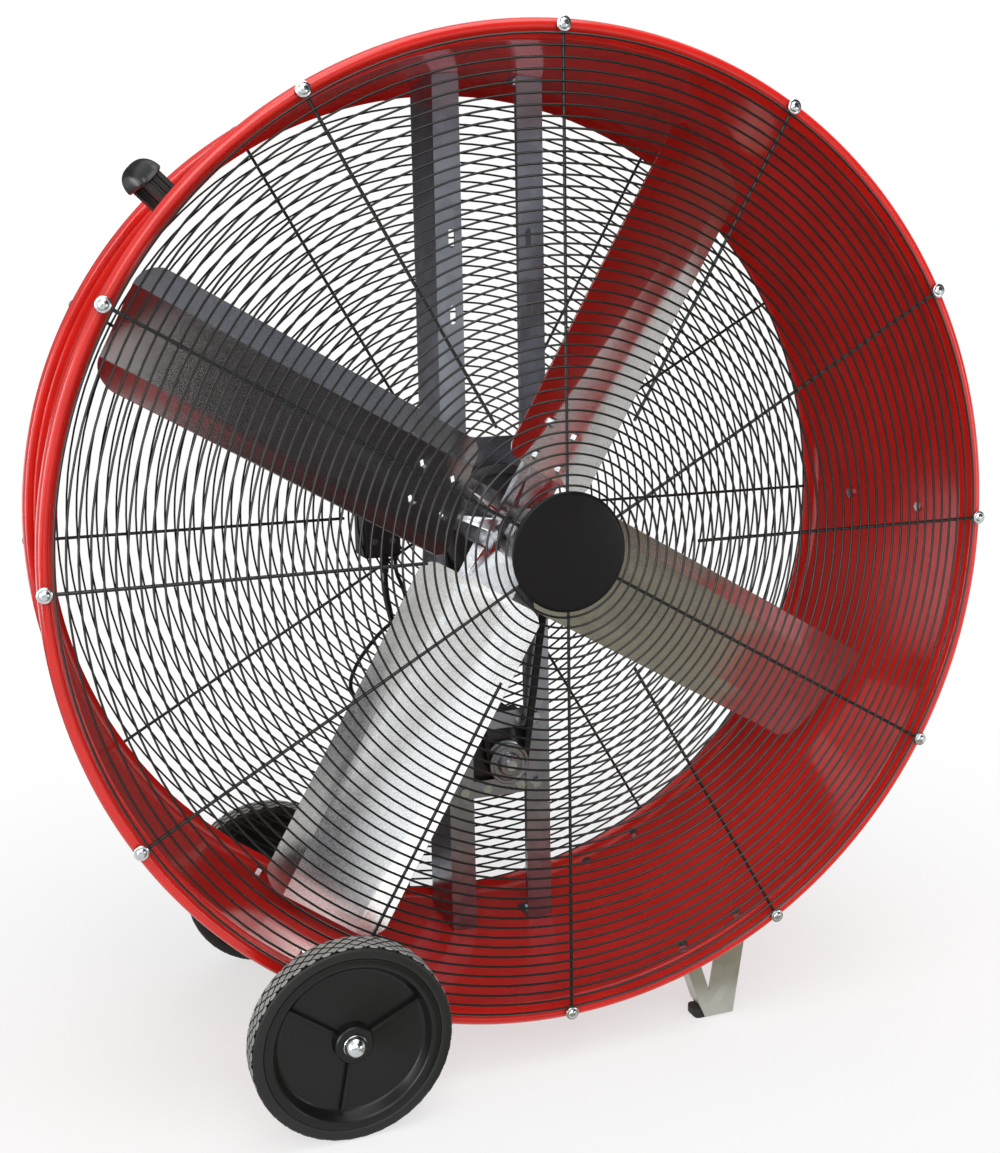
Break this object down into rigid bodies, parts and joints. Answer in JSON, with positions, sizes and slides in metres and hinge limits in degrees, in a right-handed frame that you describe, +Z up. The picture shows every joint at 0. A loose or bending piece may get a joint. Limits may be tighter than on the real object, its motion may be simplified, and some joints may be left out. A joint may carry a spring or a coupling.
{
  "type": "drum fan",
  "caption": "Portable belt-driven drum fan: rolled drum with wire guards, pitched sheet blades, motor on cross struts, wheels on one side, feet on the other, carry handle and cord.",
  "frame": {"origin": "on the floor under the middle of the drum, at the bottom centre of the box around the fan without its cord", "axes": "+X to the right seen from the front, +Y to the back (the front guard faces -Y), +Z up"},
  "size_m": [1.2906, 0.6694, 1.3483],
  "materials": {
    "red_paint": "glossy enamel on rolled sheet steel",
    "black_wire": "gloss black powder coat",
    "badge_black": "plain gloss disc",
    "galvanised": "galvanised, satin",
    "zinc": "bright zinc plate",
    "cast_housing": "painted casting",
    "motor_paint": "semi-gloss dark grey",
    "belt_rubber": "fabric-backed rubber",
    "steel": "ground steel",
    "black_rubber": "moulded",
    "black_plastic": "moulded, fine texture",
    "box_plastic": "moulded",
    "cord_rubber": "smooth jacket",
    "hub_steel": "bright zinc plate",
    "blade_sheet": "rolled sheet, satin",
    "pulley_metal": "turned",
    "tyre_rubber": "moulded tread",
    "wheel_plastic": "moulded, semi-gloss"
  },
  "bodies": {
    "root": {"axle": "steel", "axle_bracket_front": "galvanised", "axle_bracket_rear": "galvanised", "axle_caps_and_washers": "zinc", "bearing_bolts": "zinc", "bearing_front": "cast_housing", "bearing_plate_front": "galvanised", "bearing_plate_rear": "galvanised", "bearing_rear": "cast_housing", "bracket_bolts": "zinc", "clamp_plate": "box_plastic", "clamp_screws": "zinc", "cord_coil": "cord_rubber", "drive_belt": "belt_rubber", "drum_shell": "red_paint", "front_foot": "black_rubber", "front_guard": "black_wire", "front_guard_screws": "zinc", "front_leg": "galvanised", "handle_bolts": "zinc", "handle_grip": "black_plastic", "handle_posts": "black_plastic", "hub_badge": "badge_black", "lead_grommets": "black_rubber", "leg_bolts": "zinc", "motor_bolts": "zinc", "motor_front_bell": "motor_paint", "motor_lead": "cord_rubber", "motor_rear_bell": "motor_paint", "motor_shell": "motor_paint", "motor_straps": "galvanised", "plug": "cord_rubber", "power_cord": "cord_rubber", "rear_foot": "black_rubber", "rear_guard": "black_wire", "rear_guard_screws": "zinc", "rear_leg": "galvanised", "strain_relief": "black_rubber", "strut_face_bolts": "zinc", "strut_left": "galvanised", "strut_right": "galvanised", "switch_box": "box_plastic", "switch_cover": "box_plastic", "wall_bolts": "zinc"},
    "fan": {"fan_shaft": "steel", "driven_sheave": "cast_housing", "blade_hub": "hub_steel", "hub_nut": "steel", "blade_1": "blade_sheet", "blade_2": "blade_sheet", "blade_3": "blade_sheet", "blade_4": "blade_sheet", "blade_bolts": "zinc"},
    "motor_rotor": {"motor_shaft": "steel", "motor_pulley": "pulley_metal"},
    "front_wheel": {"front_tyre": "tyre_rubber", "front_wheel_disc": "wheel_plastic"},
    "rear_wheel": {"rear_tyre": "tyre_rubber", "rear_wheel_disc": "wheel_plastic"},
    "knob": {"speed_knob": "black_plastic"}
  },
  "joints": [
    {"name": "fan_spin", "type": "hinge", "parent": "root", "child": "fan", "pos_m": [0, 0, 0.703], "axis": [0, 1, 0], "continuous": true},
    {"name": "motor_spin", "type": "hinge", "parent": "root", "child": "motor_rotor", "pos_m": [0.006, 0, 0.346], "axis": [0, 1, 0], "continuous": true},
    {"name": "front_wheel_spin", "type": "hinge", "parent": "root", "child": "front_wheel", "pos_m": [-0.32099, 0, 0.127], "axis": [0, 1, 0], "continuous": true},
    {"name": "rear_wheel_spin", "type": "hinge", "parent": "root", "child": "rear_wheel", "pos_m": [-0.32099, 0, 0.127], "axis": [0, 1, 0], "continuous": true},
    {"name": "speed_knob_turn", "type": "hinge", "parent": "root", "child": "knob", "pos_m": [-0.129, 0, 0.691], "axis": [0, 1, 0], "range_deg": [0, 120]}
  ],
  "couplings": [
    {"joint": "motor_spin", "follows": "fan_spin", "ratio": 3.1111}
  ]
}
